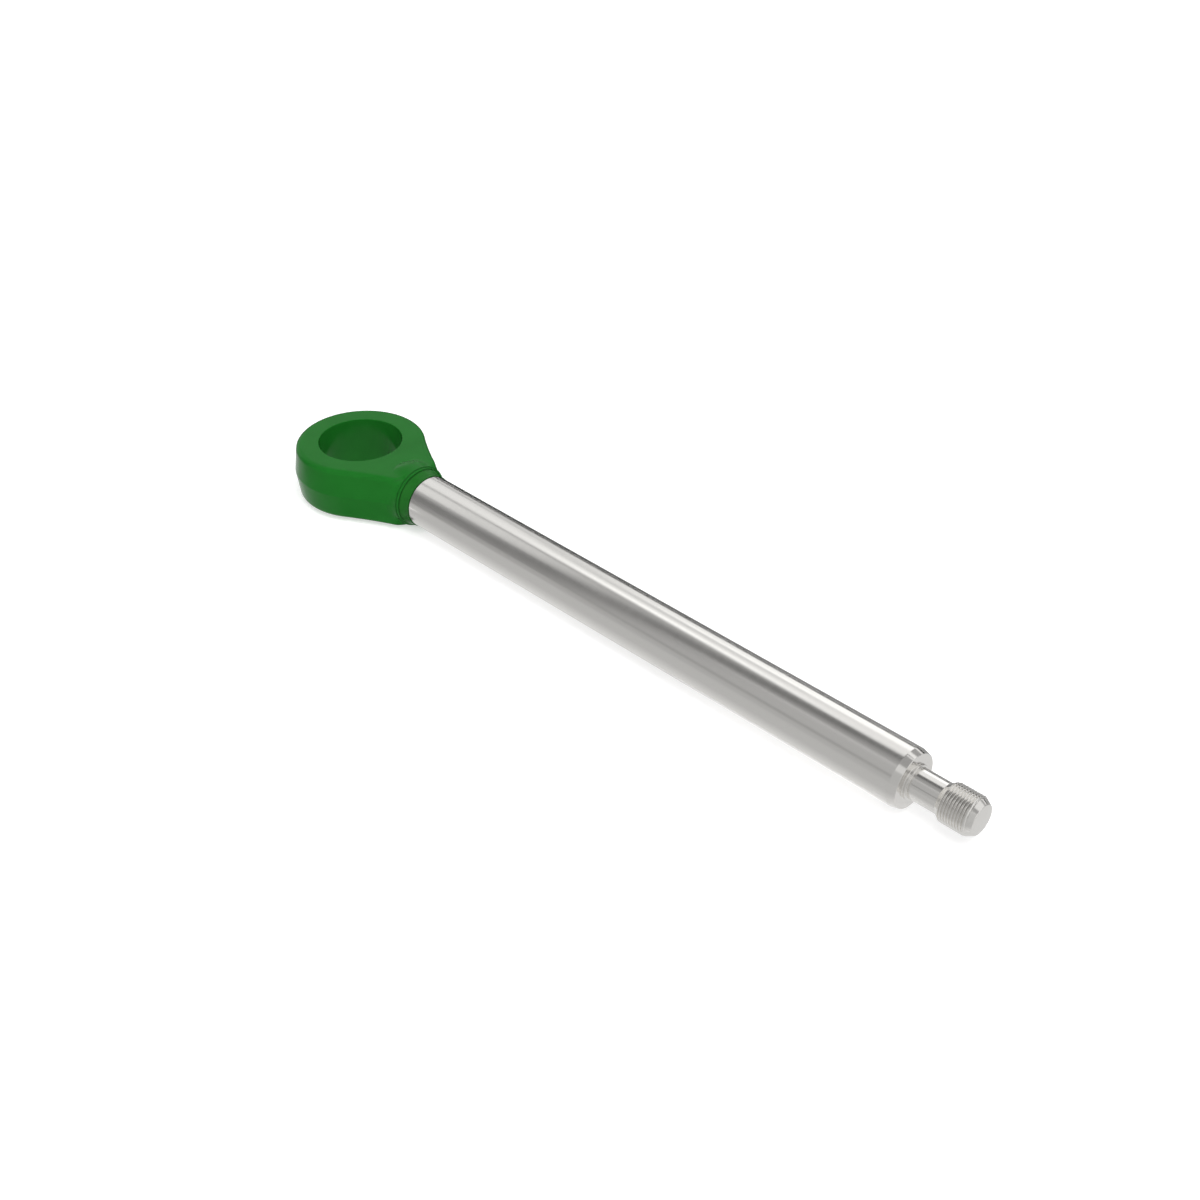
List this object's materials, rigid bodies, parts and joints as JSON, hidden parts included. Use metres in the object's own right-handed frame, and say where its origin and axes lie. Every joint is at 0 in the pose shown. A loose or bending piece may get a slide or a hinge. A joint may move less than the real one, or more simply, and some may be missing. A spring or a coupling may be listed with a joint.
{
  "type": "piston rod",
  "caption": "Hydraulic piston rod: a chromed round bar with a welded forged eye at one end and a shoulder, necked stud and fine thread for the piston at the other.",
  "frame": {"origin": "centre of the eye's bore, half way through its thickness", "axes": "+X along the rod from the eye to the threaded tip, +Z along the eye's bore"},
  "size_m": [0.4673, 0.0772, 0.0356],
  "materials": {
    "eye_paint": "semi-gloss green paint over a forged surface",
    "weld_paint": "the same green paint, run over the weld",
    "rod_chrome": "ground and hard-chromed, with a satin sheen along the bar"
  },
  "bodies": {
    "root": {"rod_eye": "eye_paint", "weld_bead": "weld_paint", "piston_rod": "rod_chrome"}
  },
  "joints": []
}
